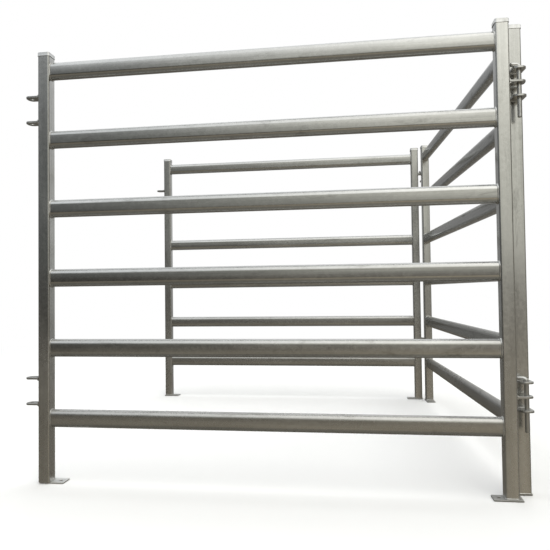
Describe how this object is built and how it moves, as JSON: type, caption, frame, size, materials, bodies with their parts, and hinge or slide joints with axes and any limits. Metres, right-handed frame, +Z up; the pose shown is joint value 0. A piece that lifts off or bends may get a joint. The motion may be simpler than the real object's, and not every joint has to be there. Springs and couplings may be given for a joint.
{
  "type": "livestock panel gate",
  "caption": "Corner of a portable livestock yard: railed galvanised panels on square posts, joined by lugs and drop pins so that each panel swings like a gate.",
  "frame": {"origin": "on the ground under the middle of the bounding box of the yard corner as it stands at rest", "axes": "+Z up; +X along the front panel from its free end to the front corner; +Y from the front panel to the back panel"},
  "size_m": [2.1411, 2.0302, 1.8],
  "materials": {
    "galvanised_post": "hot-dip galvanised, weathered satin with long pale and dark streaks",
    "galvanised_rail": "hot-dip galvanised, satin, smudged, brighter on the top round",
    "galvanised_cap": "hot-dip galvanised pressed steel, satin",
    "galvanised_foot": "hot-dip galvanised plate, dull, soiled at the edges",
    "galvanised_lug": "hot-dip galvanised plate, satin, worn round the pin hole",
    "galvanised_pin": "hot-dip galvanised round bar, rubbed darker where it slides"
  },
  "bodies": {
    "front_panel": {"front_rail_1": "galvanised_rail", "front_rail_2": "galvanised_rail", "front_rail_3": "galvanised_rail", "front_rail_4": "galvanised_rail", "front_rail_5": "galvanised_rail", "front_rail_6": "galvanised_rail", "front_left_post": "galvanised_post", "front_right_post": "galvanised_post", "front_left_cap": "galvanised_cap", "front_right_cap": "galvanised_cap", "front_left_foot": "galvanised_foot", "front_right_foot": "galvanised_foot", "front_left_upper_lugs": "galvanised_lug", "front_left_lower_lugs": "galvanised_lug", "front_right_upper_lug": "galvanised_lug", "front_right_lower_lug": "galvanised_lug"},
    "side_panel": {"side_rail_1": "galvanised_rail", "side_rail_2": "galvanised_rail", "side_rail_3": "galvanised_rail", "side_rail_4": "galvanised_rail", "side_rail_5": "galvanised_rail", "side_rail_6": "galvanised_rail", "side_left_post": "galvanised_post", "side_right_post": "galvanised_post", "side_left_cap": "galvanised_cap", "side_right_cap": "galvanised_cap", "side_left_foot": "galvanised_foot", "side_right_foot": "galvanised_foot", "side_left_upper_lugs": "galvanised_lug", "side_left_lower_lugs": "galvanised_lug", "side_right_upper_lug": "galvanised_lug", "side_right_lower_lug": "galvanised_lug"},
    "back_panel": {"back_rail_1": "galvanised_rail", "back_rail_2": "galvanised_rail", "back_rail_3": "galvanised_rail", "back_rail_4": "galvanised_rail", "back_rail_5": "galvanised_rail", "back_rail_6": "galvanised_rail", "back_left_post": "galvanised_post", "back_right_post": "galvanised_post", "back_left_cap": "galvanised_cap", "back_right_cap": "galvanised_cap", "back_left_foot": "galvanised_foot", "back_right_foot": "galvanised_foot", "back_left_upper_lugs": "galvanised_lug", "back_left_lower_lugs": "galvanised_lug", "back_right_upper_lug": "galvanised_lug", "back_right_lower_lug": "galvanised_lug"},
    "front_corner_upper_pin": {"front_corner_upper_pin": "galvanised_pin"},
    "front_corner_lower_pin": {"front_corner_lower_pin": "galvanised_pin"},
    "rear_corner_upper_pin": {"rear_corner_upper_pin": "galvanised_pin"},
    "rear_corner_lower_pin": {"rear_corner_lower_pin": "galvanised_pin"}
  },
  "joints": [
    {"name": "side_panel_swing", "type": "hinge", "parent": "front_panel", "child": "side_panel", "pos_m": [1.04535, -0.97906, 0.968], "axis": [0, 0, 1], "range_deg": [-184, 10]},
    {"name": "back_panel_swing", "type": "hinge", "parent": "side_panel", "child": "back_panel", "pos_m": [0.92166, 0.98706, 0.968], "axis": [0, 0, 1], "range_deg": [-188, 15]},
    {"name": "front_corner_upper_pin_lift", "type": "slide", "parent": "front_panel", "child": "front_corner_upper_pin", "axis": [0, 0, 1], "range_m": [0, 0.2]},
    {"name": "front_corner_lower_pin_lift", "type": "slide", "parent": "front_panel", "child": "front_corner_lower_pin", "axis": [0, 0, 1], "range_m": [0, 0.2]},
    {"name": "rear_corner_upper_pin_lift", "type": "slide", "parent": "side_panel", "child": "rear_corner_upper_pin", "axis": [0, 0, 1], "range_m": [0, 0.2]},
    {"name": "rear_corner_lower_pin_lift", "type": "slide", "parent": "side_panel", "child": "rear_corner_lower_pin", "axis": [0, 0, 1], "range_m": [0, 0.2]}
  ]
}
